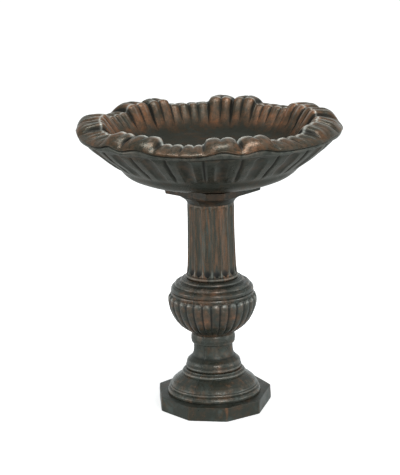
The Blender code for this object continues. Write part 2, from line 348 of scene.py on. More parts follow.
def patina(name, seed, stretch=(1.0, 1.0, 1.0), rust=1.0, grey=0.35, rough=0.30, grain=1.0,
           tone=1.0, vary=1.8, tint=(1.0, 1.0, 1.0), gleam=0.36):
    """Bronze paint over cast stone: olive in the hollows, brown, and rust where it is rubbed.

    The mesh holds at each point how hollow it is, which is painted as shade, how rubbed and
    dull it is, and how strong a painted highlight ("edge") it gets.  grain is the strength of
    the bump, tone lightens the paints, vary is how blotchy they are, and gleam and tint are the
    level and the colour of the gloss.
    """
    def parts(tree):
        coords = tree.coords()
        place = tree.new("ShaderNodeMapping", {"Vector": coords, "Scale": stretch,
                                               "Location": (seed, seed * 0.7, 0)}).outputs[0]
        blotch = tree.noise(place, 14.0, detail=4.0, rough=0.55, distortion=0.4)
        mottle = tree.noise(place, 60.0, detail=6.0, rough=0.65)
        speck = tree.noise(coords, 320.0, detail=3.0)
        dust = tree.noise(place, 23.0, rough=0.7, distortion=0.8)
        hollow, dull = tree.value("hollow"), tree.value("dull")

        # The paints, from the one left in the hollows to the one that rubbing lays bare.
        worn = tree.add(tree.value("rub"), tree.centred(blotch, vary))
        worn = tree.add(worn, tree.centred(mottle, vary))
        worn = tree.add(worn, tree.centred(speck, 0.6))
        olive, umber, brown, rusty, grey_green = (
            tuple(tone * c for c in paint) for paint in (OLIVE, UMBER, BROWN, RUST, VERDIGRIS))
        colour = tree.mix(tree.range(worn, 0.0, 0.45), olive, umber)
        colour = tree.mix(tree.range(worn, 0.3, 0.75), colour, brown)
        colour = tree.mix(tree.times(tree.range(worn, 0.65, 1.25), rust), colour, rusty)
        dusty = tree.times(tree.range(dust, 0.48, 0.72), grey)
        colour = tree.mix(dusty, colour, grey_green)

        # Painted shade in the hollows, painted highlights and glints on the edges, the floor
        # darker and duller, and dark specks.
        colour = tree.mix(tree.times(tree.range(hollow, 0.15, 0.9), 0.9), colour, SHADE_DARK)
        painted_highlight = tree.times(tree.value("edge"), tree.range(mottle, 0.35, 0.6, 0.35, 0.9))
        colour = tree.mix(painted_highlight, colour, PAINTED_HIGHLIGHT_COLOUR)
        colour = tree.mix(tree.times(tree.range(dull, 0.4, 1.0), 0.45), colour, SHADE_DARK)
        dark = tree.range(speck, 0.28, 0.40, 0.55, 1.0)
        shade = tree.new("ShaderNodeCombineColor", {0: dark, 1: dark, 2: dark}).outputs[0]
        colour = tree.mix(1.0, colour, shade, "MULTIPLY")

        # The mottle varies the roughness about rough; hollows, dust and dullness add to it.
        gloss = tree.add(tree.times(mottle, 0.30), rough - 0.15)
        gloss = tree.add(gloss, tree.times(hollow, 0.25))
        gloss = tree.add(gloss, tree.times(dusty, 0.3))
        gloss = tree.add(gloss, tree.times(dull, 0.60), clamp=True)

        # Small casting pits among the grain.
        cells = tree.new("ShaderNodeTexVoronoi", {"Vector": coords, "Scale": 110.0}).outputs[0]
        pits = tree.times(tree.range(cells, 0.05, 0.16), 0.5)
        rise = tree.add(tree.times(mottle, 1.1), tree.times(speck, 0.5))
        return {"Base Color": colour, "Roughness": gloss, "Metallic": 0.25,
                "Specular IOR Level": gleam, "Specular Tint": (*tint, 1.0),
                "Normal": tree.bump(tree.add(rise, pits), 0.55 * grain, 0.0012)}
    return principled(name, parts)


def rubber(name):
    def parts(tree):
        grain = tree.noise(tree.coords(), 260.0, detail=4.0)
        return {"Base Color": tree.mix(grain, (0.012, 0.012, 0.012), (0.030, 0.029, 0.028)),
                "Roughness": tree.add(tree.times(grain, 0.25), 0.6),
                "Normal": tree.bump(grain, 0.3, 0.0005)}
    return principled(name, parts)


def zinc(name):
    """Galvanised steel with its faint spangle and a little brown stain."""
    def parts(tree):
        coords = tree.coords()
        cells = tree.new("ShaderNodeTexVoronoi", {"Vector": coords, "Scale": 240.0}).outputs[1]
        spangle = tree.new("ShaderNodeSeparateColor", {0: cells}).outputs[0]
        stain = tree.range(tree.noise(coords, 90.0, detail=6.0), 0.52, 0.70)
        colour = tree.mix(spangle, (0.30, 0.31, 0.32), (0.47, 0.48, 0.49))
        return {"Base Color": tree.mix(stain, colour, (0.24, 0.17, 0.12)),
                "Roughness": tree.add(tree.times(stain, 0.35), 0.32), "Metallic": 0.9,
                "Normal": tree.bump(spangle, 0.15, 0.0003)}
    return principled(name, parts)


# ---------------------------------------------------------------- plinth and capital plate
# Angle in degrees and distance from the axis of the plinth's eight uneven corners.
PLINTH_CORNERS = ((16.0, 0.1570), (48.0, 0.1650), (118.0, 0.1650), (152.5, 0.1640),
                  (199.0, 0.1470), (242.5, 0.1470), (281.8, 0.1487), (323.4, 0.1444))
FRONT_CORNER = math.radians(PLINTH_CORNERS[6][0])
PLATE_TURN = math.radians(5.0)  # the capital's plate is a little askew
PLATE_OFFSET = 0.005


def polygon(angle, corners, sharpness):
    """Radius of a straight-sided outline at each angle, with slightly rounded corners.

    corners holds the angle and the distance from the axis of each corner, anticlockwise.
    """
    total = 0.0
    for (a0, r0), (a1, r1) in zip(corners, corners[1:] + corners[:1]):
        p0 = np.array([math.cos(a0), math.sin(a0)]) * r0
        p1 = np.array([math.cos(a1), math.sin(a1)]) * r1
        side = (p1 - p0) / np.linalg.norm(p1 - p0)
        normal = np.array([side[1], -side[0]])
        reach = float(normal @ p0)
        facing = np.maximum((np.cos(angle) * normal[0] + np.sin(angle) * normal[1]) / reach, 0)
        total = total + facing ** sharpness
    return total ** (-1.0 / sharpness)


def pushed_out(r, start, full, outline):
    """Moves what lies past the radius start out, so that the radius full meets the outline."""
    share = np.clip((r - start) / (full - start), 0, 1)
    return np.where(r > start, start + (outline - start) * share, r)


def make_plinth(mat):
    top, web, recess = 0.0380, 0.0100, 0.0370
    side, flat = 0.15, 0.1225   # radius of the profile's side, and where it leaves the round
    corners = [(recess, 0.0, 0.001), (side, 0.0, 0.0012), (side, top - 0.0012, 0.0022),
               (0.122, top + 0.0008, 0.002), (SPIGOT_R, top + 0.0001, EDGE),
               (SPIGOT_R, top + SPIGOT_H, EDGE), (ROD_HOLE_R, top + SPIGOT_H, EDGE),
               (ROD_HOLE_R, top - web, EDGE), (recess, top - web, EDGE)]
    profile = rounded(corners)
    columns = 560
    angle = around(columns)
    outline = polygon(angle, tuple((math.radians(a), r) for a, r in PLINTH_CORNERS),
                      sharpness=110)
    r, z = profile[:, :1] + 0 * angle, profile[:, 1:] + 0 * angle
    r = pushed_out(r, flat, side, outline)

    # Rust shows on the upper edge and the corners, most of all at the front corner.
    worn = np.clip(curvature(profile, 2), 0, 1)[:, None]
    bend = np.abs(np.gradient(np.gradient(outline[0]) / (TAU / columns)))
    corner = np.clip(bend / bend.max() * 2.5, 0, 1)[None, :]
    upright = smoothstep(side - 0.004, side - 0.001, profile[:, :1])
    front = 0.35 + 0.65 * bell(angle - FRONT_CORNER, 0.2)
    rubbed = 0.10 + 0.75 * (worn + corner) * upright * front

    outer = smoothstep(0.06, 0.10, r) * smoothstep(0.002, 0.004, z)
    r = r + outer * 0.0006 * ripple(angle, z, seed=11, turns=14, per_metre=120.0)
    r = r + upright * outer * seam(angle, r)
    # Painted shade lies round the foot of the base moulding and on the underside.
    hollow = 0.4 * smoothstep(0.125, 0.1205, r) * smoothstep(0.105, 0.115, r) * (z > 0.03)
    hollow = hollow + 0.5 * (profile[:, 1:] < 0.001)
    return build("plinth_slab", turned(r, z, angle), mat, "pedestal", "plinth",
                 values={"hollow": hollow, "rub": rubbed})


def make_capital(mat):
    bottom, top, thick, web = 0.5493, 0.5965, 0.0175, 0.0050
    far, clip = 0.1225, 0.0220      # how far out a clipped corner is, and half its width
    plate = 0.0990                  # radius from which the cove opens out to the plate
    low = bottom + SOCKET_DEPTH
    corners = [(SOCKET_R, bottom, EDGE), (0.0608, bottom, EDGE), (0.0622, 0.5530, 0.003),
               (0.0650, 0.5570, 0.006), (0.0700, 0.5620, 0.008), (0.0760, 0.5660, 0.004),
               (0.0800, 0.5685, 0.0008), (0.0806, 0.5715, 0.0010),
               *ellipse((0.1010, 0.5710), (0.0190, 0.0075), 165, 95, 5),
               (0.1220, top - thick, 0.0015), (far, top, 0.0015), (CORE_R, top, 0.001),
               (CORE_R, low + web, 0.001), (ROD_HOLE_R, low + web, EDGE),
               (ROD_HOLE_R, low, EDGE), (SOCKET_R, low, EDGE)]
    profile = rounded(corners, 0.0025)
    angle = around(480)
    tilt, reach = math.atan2(clip, far), math.hypot(clip, far)
    plan = tuple((math.pi / 2 * i + PLATE_TURN + s * tilt, reach)
                 for i in range(4) for s in (-1, 1))
    outline = polygon(angle, plan, sharpness=130) + PLATE_OFFSET * np.cos(angle)
    r, z = profile[:, :1] + 0 * angle, profile[:, 1:] + 0 * angle
    r = pushed_out(r, plate, far, outline)
    bent = curvature(profile)[:, None]
    # Concave turns get painted shade.
    worn, hollow = np.clip(bent, 0, 1), np.clip(-bent, 0, 1)
    outer = on_outside(r)
    r = r + outer * 0.0004 * ripple(angle, z, seed=23)
    r = r + outer * seam(angle, r) * (z < 0.58)
    return build("capital_casting", turned(r, z, angle), mat, "pedestal", "capital",
                 values={"hollow": hollow, "rub": 0.25 + 0.5 * worn - 0.2 * hollow})


# ---------------------------------------------------------------- turned castings
GADROONS = 30
GADROON_PHASE = math.radians(3.6)
SHAFT_FLUTES = 16


def make_base(mat):
    bottom, top = 0.0383, 0.1050
    outside = [(0.1180, bottom, 0.0006), (0.1212, 0.0400, 0.0012), (0.1216, 0.0465, 0.0020),
               (0.1190, 0.0515, 0.0025), (0.1140, 0.0540, 0.0008),
               *ellipse((0.1128, 0.0580), (0.0032, 0.0036), -50, 75, 6),
               (0.1128, 0.0622, 0.0008), (0.1122, 0.0650, 0.004), (0.1088, 0.0710, 0.010),
               (0.1005, 0.0785, 0.020), (0.0910, 0.0845, 0.010), (0.0838, 0.0885, 0.0012),
               (0.0795, 0.0903, 0.001),
               *ellipse((0.0780, 0.0953), (0.0044, 0.0044), -60, 85, 7),
               (0.0775, 0.1000, 0.0008), (0.0762, 0.1012, 0.0008), (0.0758, top, 0.0012)]
    return turned_piece("base_moulding", cored(outside, bottom, top), mat, 5,
                        columns=560, rub=0.18, step=0.0031)


def make_neck(mat):
    bottom, top = 0.1053, 0.1735
    outside = [(0.0700, bottom, 0.0006),
               *ellipse((0.0696, 0.1112), (0.0032, 0.0046), -60, 70, 6),
               (0.0703, 0.1170, 0.0008), (0.0706, 0.1215, 0.004), (0.0685, 0.1275, 0.006),
               (0.0625, 0.1325, 0.010), (0.0563, 0.1385, 0.012), (0.0526, 0.1460, 0.02),
               (0.0512, 0.1560, 0.03), (0.0508, top, 0.0010)]
    return turned_piece("neck", cored(outside, bottom, top), mat, 6, rub=0.28)


def make_collar(mat):
    bottom, top = 0.1738, 0.2015
    outside = [(0.0540, bottom, 0.0010), (0.0563, 0.1770, 0.006), (0.0576, 0.1880, 0.014),
               (0.0560, 0.1985, 0.006), (0.0540, top, 0.0010)]
    return turned_piece("collar", cored(outside, bottom, top), mat, 7, rub=0.30,
                        step=0.002)


def make_knop_lower(mat):
    bottom, top = 0.2018, 0.3130
    ribs_top, depth, dart_depth = 0.3028, 0.0068, 0.0050
    ribs = [(0.0560, bottom, 0.0008), (0.0590, 0.2045, 0.003), (0.0720, 0.2130, 0.020),
            (0.0860, 0.2240, 0.030), (0.0970, 0.2370, 0.035), (0.1060, 0.2530, 0.04),
            (0.1128, 0.2700, 0.04), (0.1158, 0.2860, 0.04), (0.1152, 0.2980, 0.010),
            (0.1118, 0.3030, 0.0030), (0.1078, 0.3046, 0.0008)]
    band = [(0.1082, 0.3062, 0.0010), (0.1088, 0.3090, 0.0020), (0.1080, 0.3116, 0.0010),
            (0.1060, top, 0.0006)]

    def shape(r, z, angle):
        # across is 0 in the middle of a rib and 1 in the gap beside it.
        turn = (angle - GADROON_PHASE) / (TAU / GADROONS)
        across = np.abs(turn % 1.0 - 0.5) * 2.0
        gap = 1.0 - np.sqrt(np.clip(1.0 - 0.96 * across ** 2.4, 0, 1))
        on = smoothstep(0.0580, 0.0700, r) * (z > bottom + 0.001) * smoothstep(0.3048, 0.3035, z)
        # The tops of the ribs are round, and a dart fills the gap between two of them.
        head = smoothstep(0.2960, 0.3040, z)
        deep = depth * (0.55 + 0.45 * smoothstep(0.058, 0.10, r)) * (1 + 0.5 * head)
        dart = bell(1 - across, 0.16) * bell(z - ribs_top, 0.0016)
        r = r - on * deep * gap * (1 + 0.3 * head) + on * dart * dart_depth
        z = z - on * head * 0.0030 * across ** 3
        # A painted glint on the round top of each rib; the gaps between the ribs get painted
        # shade.
        painted_glint = 0.75 * on * bell(across, 0.42) * bell(z - ribs_top + 0.0033, 0.0022)
        return r, z, on * np.clip(gap * 1.3 - dart, 0, 1), painted_glint
    return turned_piece("knop_lower", cored(ribs + band, bottom, top), mat, 8,
                        columns=16 * GADROONS, shape=shape, rub=0.38, step=0.0028)


def make_knop_upper(mat):
    bottom, top = 0.3133, 0.3495
    outside = [(0.1048, bottom, 0.0006), (0.1062, 0.3145, 0.001), (0.1072, 0.3180, 0.003),
               (0.1070, 0.3222, 0.005), (0.1050, 0.3262, 0.005), (0.1014, 0.3294, 0.0020),
               (0.0982, 0.3294, 0.0006), (0.0984, 0.3312, 0.0008),
               *ellipse((0.0890, 0.3312), (0.0094, 0.0078), 5, 85, 7),
               (0.0860, 0.3384, 0.0006), (0.0822, 0.3404, 0.003),
               *ellipse((0.0760, 0.3436), (0.0058, 0.0044), -35, 88, 8),
               (0.0745, 0.3477, 0.0008), (0.0725, 0.3488, 0.0008), (0.0700, top, 0.0010)]
    return turned_piece("knop_upper", cored(outside, bottom, top), mat, 9, rub=0.32,
                        step=0.002)


def make_shaft(mat):
    bottom, top = 0.3498, 0.5490
    flutes_low, flutes_high, round_end, depth = 0.3612, 0.5440, 0.0085, 0.0042
    outside = [(0.0645, bottom, 0.0008),
               *ellipse((0.0625, 0.3548), (0.0052, 0.0046), -60, 80, 7),
               (0.0640, 0.3598, 0.0010), (0.0648, 0.3620, 0.003), (0.0645, 0.3680, 0.006),
               (0.0633, 0.3780, 0.02), (0.0617, 0.4100, 0.05), (0.0606, 0.4600, 0.1),
               (0.0603, 0.5380, 0.01), (0.0600, flutes_high, 0.002), (0.0596, top, 0.0010)]

    def shape(r, z, angle):
        # across is 0 on an arris and 1 in the middle of a flute, whose ends are round.
        across = np.abs((angle / (TAU / SHAFT_FLUTES) + 0.5) % 1.0 - 0.5) * 2.0
        width = 0.86 * np.sqrt(np.clip((z - flutes_low) / round_end, 0, 1)) * np.sqrt(
            np.clip((flutes_high - z) / round_end, 0, 1))
        inside = np.clip((across - (1 - width)) / np.maximum(width, 0.02), 0, 1)
        dish = np.sqrt(np.clip(1 - (1 - inside) ** 2, 0, 1)) * (width > 0)
        deep = depth * smoothstep(0.36, 0.366, z) * smoothstep(0.548, 0.540, z)
        foot = smoothstep(0.385, 0.366, z) * smoothstep(0.3590, 0.3620, z)
        # Painted glints on the arrises just above the foot and faintly all along, and painted
        # shade in the flutes, darkest in their round feet.
        painted_glint = 0.5 * bell(across, 0.10) * foot + 0.08 * bell(across, 0.07)
        return r - deep * dish, z, np.clip(dish * (0.25 + 0.80 * foot), 0, 1), painted_glint
    return turned_piece("shaft", cored(outside, bottom, top), mat, 10,
                        columns=26 * SHAFT_FLUTES, shape=shape, rub=0.50, seamed=False)


# ---------------------------------------------------------------- basin
# Start, middle and end of each pair of tall petals, in degrees from +X, and how far the bead
# rises under its two petals: listed and uneven.  Two low petals fill each space.
PAIRS = ((9.0, 24.0, 40.0, 0.8, 1.0), (63.0, 76.0, 90.0, 1.0, 1.0),
         (112.0, 125.5, 141.0, 1.0, 1.0), (162.0, 179.0, 194.0, 1.0, 0.8),
         (216.0, 229.0, 246.0, 1.0, 1.0), (267.0, 283.3, 299.6, 1.0, 1.0),
         (325.5, 343.0, 357.0, 0.3, 0.2))
LOBE_COLUMNS = 15               # mesh columns across one lobe; a petal has two lobes
# Depth of the groove inside a petal and of the one between two petals, by their kinds.
LOBE_GROOVE = {"tall": 0.0085, "low": 0.0075}
PETAL_GROOVE = {"tall tall": 0.0150, "low low": 0.0085, "tall low": 0.0100}
# How far the front petals hang over the edge, where most, and over how wide a span.
DROOP, DROOP_CENTRE, DROOP_SPAN = 0.0035, math.radians(268.0), math.radians(62.0)
WALL_FLUTES = 21
WALL_PHASE = math.radians(-93.1)
V_CUT_DEPTH, DISH_DEPTH = 0.0034, 0.0042
BOSS_R, BOSS_FOOT = 0.0345, 0.5881

# The basin's profile from the floor up the wall, over the lip and down to the foot: r and z
# at the low petals, r and z at the tall ones, strength of the grooves between lobes and
# between petals, share of the bead's wave, mesh rows since the entry before.
BASIN_ROWS = (
    (0.0400, 0.6880, 0.0400, 0.6880, 0.00, 0.00, 0.0, 2),
    (0.1300, 0.6880, 0.1300, 0.6880, 0.00, 0.00, 0.0, 3),
    (0.1950, 0.6883, 0.1950, 0.6883, 0.00, 0.00, 0.0, 2),
    (0.2080, 0.6895, 0.2080, 0.6895, 0.00, 0.00, 0.0, 2),
    (0.2200, 0.6945, 0.2190, 0.6945, 0.05, 0.05, 0.0, 3),
    (0.2310, 0.7040, 0.2290, 0.7045, 0.25, 0.25, 0.0, 4),
    (0.2420, 0.7175, 0.2380, 0.7205, 0.55, 0.55, 0.0, 4),
    (0.2520, 0.7305, 0.2475, 0.7370, 0.85, 0.85, 0.0, 4),
    (0.2615, 0.7425, 0.2575, 0.7530, 1.00, 1.00, 0.0, 4),
    (0.2690, 0.7512, 0.2665, 0.7655, 1.00, 1.00, 0.0, 4),
    (0.2765, 0.7548, 0.2750, 0.7712, 0.95, 1.00, 0.0, 4),
    (0.2880, 0.7550, 0.2875, 0.7723, 0.80, 0.95, 0.1, 4),
    (0.3030, 0.7535, 0.3030, 0.7722, 0.48, 0.85, 0.3, 4),
    (0.3180, 0.7507, 0.3180, 0.7708, 0.24, 0.62, 0.5, 4),
    (0.3295, 0.7462, 0.3300, 0.7652, 0.08, 0.32, 0.8, 4),
    (0.3368, 0.7415, 0.3372, 0.7566, 0.00, 0.10, 1.0, 3),
    (0.3397, 0.7378, 0.3397, 0.7508, 0.00, 0.00, 1.0, 2),
    (0.3382, 0.7356, 0.3382, 0.7472, 0.00, 0.00, 1.0, 2),
    (0.3325, 0.7350, 0.3325, 0.7462, 0.00, 0.00, 1.0, 2),
    (0.3350, 0.7333, 0.3350, 0.7441, 0.00, 0.00, 1.0, 2),
    (0.3362, 0.7300, 0.3362, 0.7385, 0.00, 0.00, 1.0, 2),
    (0.3340, 0.7268, 0.3340, 0.7325, 0.00, 0.00, 1.0, 2),
    (0.3280, 0.7255, 0.3280, 0.7275, 0.00, 0.00, 1.0, 2),
    (0.3238, 0.7240, 0.3238, 0.7240, 0.00, 0.00, 0.0, 2),
    (0.3170, 0.7150, 0.3170, 0.7150, 0.00, 0.00, 0.0, 4),
    (0.3020, 0.7005, 0.3020, 0.7005, 0.00, 0.00, 0.0, 6),
    (0.2760, 0.6790, 0.2760, 0.6790, 0.00, 0.00, 0.0, 6),
    (0.2500, 0.6590, 0.2500, 0.6590, 0.00, 0.00, 0.0, 5),
    (0.2330, 0.6475, 0.2330, 0.6475, 0.00, 0.00, 0.0, 4),
    (0.2190, 0.6330, 0.2190, 0.6330, 0.00, 0.00, 0.0, 3),
    (0.1980, 0.6195, 0.1980, 0.6195, 0.00, 0.00, 0.0, 3),
    (0.1700, 0.6098, 0.1700, 0.6098, 0.00, 0.00, 0.0, 3),
    (0.1400, 0.6038, 0.1400, 0.6038, 0.00, 0.00, 0.0, 2),
    (0.1040, 0.6001, 0.1040, 0.6001, 0.00, 0.00, 0.0, 2),
)
# Mesh rows that entries of the table fall on.
ROW_AT = np.concatenate([[0.0], np.cumsum([entry[7] for entry in BASIN_ROWS[1:]])])
FLOOR_END, RISE, WALL_LOW, WALL_HIGH, WALL_TOP, CREST = ROW_AT[[3, 4, 6, 8, 9, 10]]
LIP, LIP_FALL, LIP_EDGE, RIM_END, BEAD_TOP, BEAD_FOOT = ROW_AT[[12, 14, 15, 17, 18, 22]]
FLUTES_TOP, FLUTES_FOOT = ROW_AT[[23, 28]]


def rim_layout():
    """Angles of the lobes' edges round the rim, and what lies at each edge.

    Each group has two tall and two low petals of two lobes each.  Returns the angles of the
    edges, the kind of the lobe after each edge and the kind of the edge.
    """
    rng = np.random.default_rng(4)
    edges, kinds, joints = [], [], []
    for i, (start, middle, end, _, _) in enumerate(PAIRS):
        after = PAIRS[(i + 1) % len(PAIRS)][0] + (360.0 if i == len(PAIRS) - 1 else 0.0)
        low_middle = (end + after) / 2 + rng.uniform(-0.8, 0.8)
        bounds = (start, middle, end, low_middle, after)
        for k, kind in enumerate(("tall", "tall", "low", "low")):
            a, b = bounds[k], bounds[k + 1]
            edges += [a, (a + b) / 2 + rng.uniform(-0.05, 0.05) * (b - a)]
            joints += [("tall low", "tall tall", "tall low", "low low")[k], kind]
            kinds += [kind, kind]
    return np.radians(edges), kinds, joints


def curve_through(values, steps):
    """A smooth curve through rows of values, with steps[i] mesh rows up to values[i]."""
    v = np.vstack([2 * values[0] - values[1], values, 2 * values[-1] - values[-2]])
    out = [values[0]]
    for i in range(1, len(values)):
        p0, p1, p2, p3 = v[i - 1:i + 3]
        gap = [max(np.linalg.norm((b - a)[:2]), 1e-4) ** 0.5 for a, b in
               ((p0, p1), (p1, p2), (p2, p3))]
        m1 = ((p1 - p0) / gap[0] - (p2 - p0) / (gap[0] + gap[1]) + (p2 - p1) / gap[1]) * gap[1]
        m2 = ((p2 - p1) / gap[1] - (p3 - p1) / (gap[1] + gap[2]) + (p3 - p2) / gap[2]) * gap[1]
        count = int(steps[i])
        for k in range(1, count + 1):
            t = k / count
            out.append((2 * t ** 3 - 3 * t ** 2 + 1) * p1 + (t ** 3 - 2 * t ** 2 + t) * m1
                       + (3 * t ** 2 - 2 * t ** 3) * p2 + (t ** 3 - t ** 2) * m2)
    return np.array(out)


def petal_columns():
    """Arrays with one number for each mesh column round the rim.

    They are its angle, its place across its lobe (0 in the middle, 1 at an edge) and across
    its petal (-1 to 1), the lobe and petal grooves next to it and whether the petal is tall.
    """
    edges, kinds, joints = rim_layout()
    ends = np.append(edges[1:], edges[0] + TAU)
    columns = []
    for i, (start, end) in enumerate(zip(edges, ends)):
        for k in range(LOBE_COLUMNS):
            t = k / LOBE_COLUMNS
            joint = joints[i] if t < 0.5 else joints[(i + 1) % len(joints)]
            columns.append((start + (end - start) * t, abs(2 * t - 1), t + i % 2 - 1,
                            LOBE_GROOVE.get(joint, 0.0), PETAL_GROOVE.get(joint, 0.0),
                            float(kinds[i] == "tall")))
    return [np.array(numbers)[None, :] for numbers in zip(*columns)]


def bead_rise(angle):
    """How far the bead under the rim rises: it only follows the tall petals loosely."""
    total = 0.0
    for start, middle, end, first, second in PAIRS:
        for a, b, rise in ((start, middle, first), (middle, end, second)):
            off = (angle - math.radians((a + b) / 2) + math.pi) % TAU - math.pi
            total = total + rise * bell(off, math.radians(0.40 * (b - a)))
    return np.clip(total, 0, 1.05)


def wall_flutes(angle, t):
    """How deep each point lies in the narrow grooves and in the wide hollows between them.

    t runs from 0 at the top of the underside's wall to 1 at its foot.
    """
    turn = ((angle - WALL_PHASE) / (TAU / WALL_FLUTES)) % 1.0
    thin, broad = np.minimum(turn, 1 - turn), np.abs(turn - 0.5)
    v_cut = bell(thin, 0.050) * smoothstep(0.0, 0.10, t) * smoothstep(1.0, 0.80, t)
    round_head = 0.20 * np.sqrt(np.clip(t / 0.16, 0, 1)) + 1e-4
    dish = np.clip(1 - (broad / round_head) ** 2, 0, 1) ** 0.7
    return v_cut, dish * smoothstep(1.0, 0.72, t) * smoothstep(0.0, 0.06, t)


def basin_wear_and_painted_light(n, angle, across, crest, groove, on_wall, dish):
    """Rust on the lobes inside, brown on the rim, dull olive on the floor and outside.

    It also gives painted shade in the grooves, and painted highlights and reflections on the
    crest, the bead and the lobes' ridges.
    """
    inner = smoothstep(FLOOR_END, WALL_LOW, n) * (1 - smoothstep(WALL_TOP, LIP, n))
    rim = smoothstep(WALL_TOP, CREST, n) * (1 - smoothstep(RIM_END, BEAD_TOP + 1, n))
    rubbed = 0.12 + 0.54 * inner * (1 - 0.9 * groove) + 0.36 * rim * (1 - 0.6 * groove)
    rubbed = rubbed + 0.15 * inner * crest + 0.20 * on_wall * dish
    dull = 1 - 0.75 * smoothstep(RISE, WALL_HIGH, n) - 0.25 * smoothstep(WALL_HIGH, CREST, n)

    # A painted highlight runs along the crest as a line, widest at the front.
    at_front = np.clip(-np.sin(angle), 0, 1) ** 2
    painted_highlight = 0.95 * bell(n - CREST - 1.0 - 0.8 * at_front, 0.9 + 2.0 * at_front)
    painted_highlight = painted_highlight * (1 - 0.8 * groove * (1 - at_front))
    # Weaker painted highlights lie on the bead and between the flutes, and painted reflections on
    # the lobes' ridges, strongest at the sides.
    painted_highlight = painted_highlight + 0.14 * (n > BEAD_TOP + 1) * (n < BEAD_FOOT)
    painted_highlight = painted_highlight + 0.05 * on_wall * (1 - groove)
    ridge = bell(across, 0.14) * smoothstep(WALL_LOW, WALL_TOP, n) * (
        1 - smoothstep(LIP, LIP_EDGE, n))
    side_reflection = 0.06 + 0.46 * np.abs(np.cos(angle)) ** 2.5
    return {"hollow": groove, "rub": rubbed, "edge": np.maximum(painted_highlight, side_reflection * ridge),
            "dull": dull}


def make_basin(mat):
    table = np.array(BASIN_ROWS)
    rows = curve_through(table[:, :7], table[:, 7])
    low, tall = rows[:, 0:2], rows[:, 2:4]
    lobe_amp, petal_amp, wave = (np.clip(rows[:, k], 0, 1)[:, None] for k in (4, 5, 6))
    n = np.arange(len(rows))[:, None]
    angle, across, petal_pos, lobe_cut, petal_cut, is_tall = petal_columns()

    # A petal stands highest in its middle; the step from tall to low is short.
    reach = 2
    near = np.convolve(np.pad(is_tall[0], reach, "wrap"), np.ones(2 * reach + 1), "valid")
    near = near[None, :] / (2 * reach + 1)
    crest = near * (1.0 - 0.16 * petal_pos ** 2 * is_tall)
    height = crest * (1 - wave) + bead_rise(angle) * wave
    r = low[:, :1] + (tall[:, :1] - low[:, :1]) * height
    z = low[:, 1:] + (tall[:, 1:] - low[:, 1:]) * height
    fall = bell(n - LIP_FALL, 6.0) * smoothstep(CREST, LIP, n)
    z = z - DROOP * near * fall * np.exp(-((angle - DROOP_CENTRE) / DROOP_SPAN) ** 4)

    # The grooves are cut along the outward normal of the profile, whose rows run from the
    # floor over the rim to the foot.  They are narrow inside and wide over the lip.
    along = np.gradient(low * 0.5 + tall * 0.5, axis=0)
    along /= np.linalg.norm(along, axis=1)[:, None]
    out_r, out_z = -along[:, 1:], along[:, :1]
    narrow = 1.0 - np.sqrt(np.clip(1.0 - 0.97 * across ** 2, 0, 1))
    wide = across ** 3
    outside = smoothstep(0.277, 0.300, low[:, :1]) * (wave > 0.02)
    cut = (narrow * (1 - outside) + wide * outside) * (
        lobe_cut * lobe_amp + petal_cut * petal_amp)
    on_wall = (n >= FLUTES_TOP) & (n <= FLUTES_FOOT)
    v_cut, dish = wall_flutes(angle, np.clip((n - FLUTES_TOP) / (FLUTES_FOOT - FLUTES_TOP), 0, 1))
    flute = on_wall * (v_cut * V_CUT_DEPTH + dish * DISH_DEPTH)
    r = r - out_r * (cut + flute)
    z = z - out_z * (cut + flute)
    # How deep each point lies in a groove or flute; the material paints it as shade.
    groove = np.maximum(smoothstep(0.0012, 0.0060, cut),
                        on_wall * np.clip(v_cut * 0.85 + dish * 0.45, 0, 1))
    # Painted shade darkens the two lines above and below the bead.
    groove = np.maximum(groove, bell(n - BEAD_TOP, 1.6) + 0.7 * bell(n - BEAD_FOOT, 1.0))

    body = smoothstep(0.12, 0.20, low[:, :1])
    r = r + body * 0.0006 * ripple(angle, low[:, 1:], seed=31, turns=12, per_metre=180.0)
    z = z + body * 0.0005 * ripple(angle, low[:, :1], seed=32, turns=12, per_metre=180.0)

    # The foot's flat ring, the boss and its end complete the profile.
    foot = np.array([[BOSS_R + 0.0008, 0.6001], [BOSS_R, 0.5993], [BOSS_R, BOSS_FOOT + 0.001],
                     [BOSS_R - 0.001, BOSS_FOOT], [0.012, BOSS_FOOT]])

    def complete(array, end):
        """The rows of the bowl and of its foot, from the foot up, which is build's order."""
        return np.vstack([array + 0 * angle, end + 0 * angle])[::-1]

    values = {key: complete(array, 0 * foot[:, :1]) for key, array in basin_wear_and_painted_light(
        n, angle, across, crest, groove, on_wall, dish).items()}
    points = turned(complete(r, foot[:, :1]), complete(z, foot[:, 1:]), angle)
    return build("basin_bowl", points, mat, "basin", "basin", closed=False,
                 values=values)


# ---------------------------------------------------------------- hidden hardware
def ring(node, inner, edge, mat, body, columns=96):
    """A flat ring that fills its node's box."""
    lo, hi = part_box(node)
    outer, low, high = hi[0], lo[2], hi[2]
    profile = rounded([(inner, low, edge), (outer, low, edge), (outer, high, edge),
                       (inner, high, edge)], 0.004)
    angle = around(columns)
    r, z = profile[:, :1] + 0 * angle, profile[:, 1:] + 0 * angle
    return build(node + "_part", turned(r, z, angle), mat, body, node, sharp=40)


